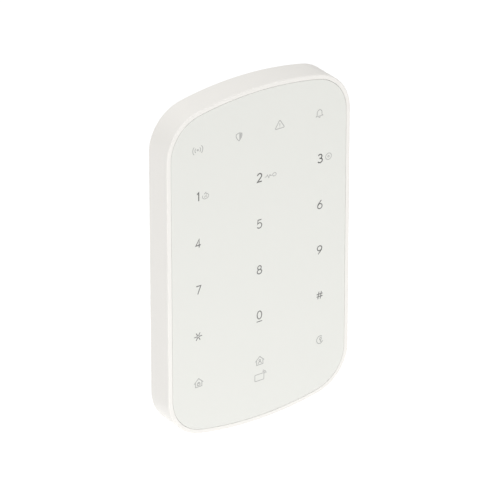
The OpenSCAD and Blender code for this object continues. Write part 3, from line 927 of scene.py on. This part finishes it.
def slider_finish():
    return surface("slider", (0.06, 0.06, 0.065), 0.45, grain=1800, depth=0.015, wear_and_highlight=0.1)


def spring_finish():
    return surface("spring", (0.7, 0.7, 0.69), 0.28, metal=1.0, grain=3500, depth=0.008, wear_and_highlight=0.1)


def contact_finish():
    return surface("contact", (0.72, 0.71, 0.67), 0.3, metal=1.0, grain=1600, depth=0.01, wear_and_highlight=0.2)


def cell_finish():
    """A cell's dark sleeve."""
    return surface("cell_a", (0.022, 0.024, 0.03), 0.3, grain=2000, depth=0.01, coat=0.3)


def cell_band_finish():
    """The band by a cell's button."""
    return surface("cell_band", (0.66, 0.36, 0.13), 0.3, metal=0.7, grain=2000, depth=0.01, coat=0.3)


def cell_end_finish():
    """A cell's bare ends."""
    return surface("cell_end", (0.7, 0.7, 0.68), 0.3, metal=1.0, grain=2400, depth=0.01, wear_and_highlight=0.1)


def screw_finish():
    return surface("screw", (0.55, 0.55, 0.54), 0.33, metal=1.0, grain=2500, depth=0.01, wear_and_highlight=0.25)


def bracket_finish():
    return surface("bracket", (0.76, 0.76, 0.74), 0.52, grain=1500, depth=0.02, vary=0.012, wear_and_highlight=0.05)


# Each material slot's finish, and two more for the cells
FINISHES = {
    "panel": panel_finish, "shell": shell_finish, "back_shell": back_shell_finish,
    "tape": tape_finish, "film": film_finish, "light_box": light_box_finish, "lamp": lamp_finish,
    "board": board_finish, "chip": chip_finish, "shield": shield_finish, "copper": copper_finish,
    "aerial": aerial_finish, "ferrite": ferrite_finish, "sounder": sounder_finish,
    "switch": switch_finish, "plunger": plunger_finish, "slider": slider_finish,
    "spring": spring_finish, "contact": contact_finish, "cell_a": cell_finish,
    "cell_band": cell_band_finish, "cell_end": cell_end_finish, "screw": screw_finish,
    "bracket": bracket_finish,
}
SLOTS = {name: node.data.materials[0].name for name, node in frame["nodes"].items()}
made = {}


def made_material(slot):
    if slot not in made:
        made[slot] = FINISHES[slot]()
    return made[slot]


def dress(nodes):
    """The CAD nodes that stay as they are take their finishes too."""
    for name, node in nodes.items():
        node.data.materials.clear()
        node.data.materials.append(made_material(SLOTS[name]))


# ---------------------------------------------------------------- studio

def floor():
    """A pale floor well below, so that no shadow reaches the picture."""
    bm = bmesh.new()
    lines = [-FLOOR_HALF + 2 * FLOOR_HALF * i / FLOOR_STEPS for i in range(FLOOR_STEPS + 1)]
    grid = [[bm.verts.new((x, y, FLOOR_LEVEL)) for x in lines] for y in lines]
    for near, far in zip(grid, grid[1:]):
        for i in range(FLOOR_STEPS):
            bm.faces.new((near[i], near[i + 1], far[i + 1], far[i]))
    obj = finish_mesh(bm, "floor")
    obj.modifiers.clear()
    finish = surface("floor", (0.97, 0.97, 0.97), 0.8, grain=30, depth=0.1, vary=0.003, wear_and_highlight=0)
    shader = parts_of(finish)[1]
    shader.inputs["Emission Color"].default_value = (1, 1, 1, 1)
    shader.inputs["Emission Strength"].default_value = FLOOR_GLOW
    obj.data.materials.append(finish)


def softbox(name, place, size, power):
    """A rectangular lamp that faces the keypad."""
    light = bpy.data.lights.new(name, "AREA")
    light.shape = "RECTANGLE"
    light.size, light.size_y = size
    light.energy = power
    obj = bpy.data.objects.new(name, light)
    obj.location = place
    obj.rotation_mode = "QUATERNION"
    obj.rotation_quaternion = Vector(place).to_track_quat("Z", "Y")
    bpy.context.scene.collection.objects.link(obj)


def sky(strength):
    """Even white light from all round."""
    world = bpy.data.worlds.new("sky")
    bpy.context.scene.world = world
    world.use_nodes = True
    background = world.node_tree.nodes["Background"]
    background.inputs["Color"].default_value = (1, 1, 1, 1)
    background.inputs["Strength"].default_value = strength


def camera():
    """The camera, turned to the view and set off sideways and up from the panel's middle."""
    lo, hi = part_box("front_panel")
    face = Vector(((lo.x + hi.x) / 2, lo.y, (lo.z + hi.z) / 2))
    back = Vector((-math.sin(AZIMUTH) * math.cos(ELEVATION), -math.cos(AZIMUTH) * math.cos(ELEVATION),
                   math.sin(ELEVATION)))
    turn = back.to_track_quat("Z", "Y")
    lens = bpy.data.cameras.new("camera")
    lens.lens = LENS
    lens.sensor_width = SENSOR
    lens.clip_start, lens.clip_end = 0.05, 50
    obj = bpy.data.objects.new("camera", lens)
    obj.location = face + back * CAMERA_DISTANCE + turn @ Vector((-AIM_LEFT, AIM_UP, 0))
    obj.rotation_mode = "QUATERNION"
    obj.rotation_quaternion = turn
    bpy.context.scene.collection.objects.link(obj)
    bpy.context.scene.camera = obj


def studio():
    floor()
    sky(SKY)
    for name, place, size, power in SOFTBOXES:
        softbox(name, place, size, power)
    bpy.context.scene.view_settings.view_transform = "Standard"
    camera()


# ---------------------------------------------------------------- the keypad

# The CAD nodes whose edges are rounded off, and how far, in millimetres
SOFT_EDGES = {
    "rear_housing": 0.3, "wall_bracket": 0.3, "battery_cover": 0.25, "power_slider": 0.2,
    "tamper_plunger": 0.2, "radio_module": 0.06, "radio_shield": 0.25, "radio_antenna": 0.08,
    "buzzer": 0.3, "main_chip": 0.08, "touch_chip": 0.08, "tamper_switch": 0.12, "power_switch": 0.12,
    "positive_terminal": 0.08, "negative_terminal": 0.08,
    "top_link": 0.08, "left_link": 0.08, "right_link": 0.08,
    "key_leds": 0.06, "indicator_leds": 0.06, "board_screws": 0.1, "housing_screws": 0.12,
}


def keypad():
    front_housing()
    sheet_of("front_panel", PANEL_EDGE)
    sheet_of("diffuser_film", FILM_EDGE)
    for number in range(1, 5):
        battery(number)
        cell_spring(number)
    tamper_spring()
    for node, width in SOFT_EDGES.items():
        soften(node, width * MM)
    dress(frame["nodes"])
    legends()


keypad()
studio()
